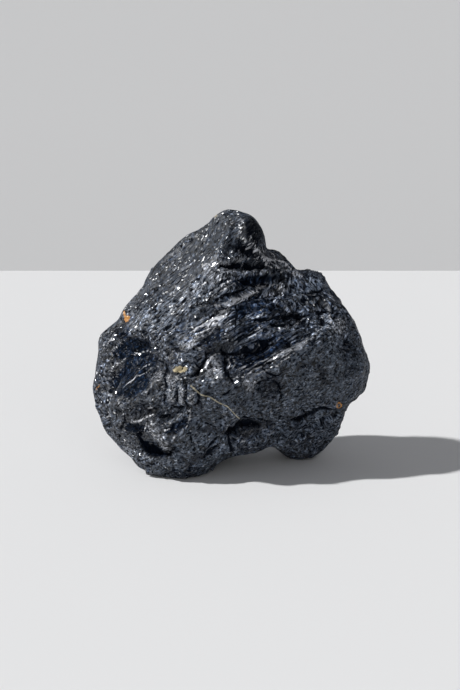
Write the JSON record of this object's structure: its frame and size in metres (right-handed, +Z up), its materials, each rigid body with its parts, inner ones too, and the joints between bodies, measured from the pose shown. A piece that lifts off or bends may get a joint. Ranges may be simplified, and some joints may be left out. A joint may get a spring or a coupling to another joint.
{
  "type": "black tourmaline",
  "caption": "Palm-sized chunk of raw black tourmaline, lumpy and ledged, with a rounded knob on top, resting on its heel and foot.",
  "frame": {"origin": "centre of the stone's footprint box, on the surface that it rests on", "axes": "+X to the right across the broad face, +Y from the broad face to the back, +Z up"},
  "size_m": [0.0612, 0.0408, 0.0552],
  "materials": {
    "tourmaline": "raw broken schorl, blue-black, glassy on fresh fibres and matt grey where pitted"
  },
  "bodies": {
    "root": {"stone": "tourmaline"}
  },
  "joints": []
}
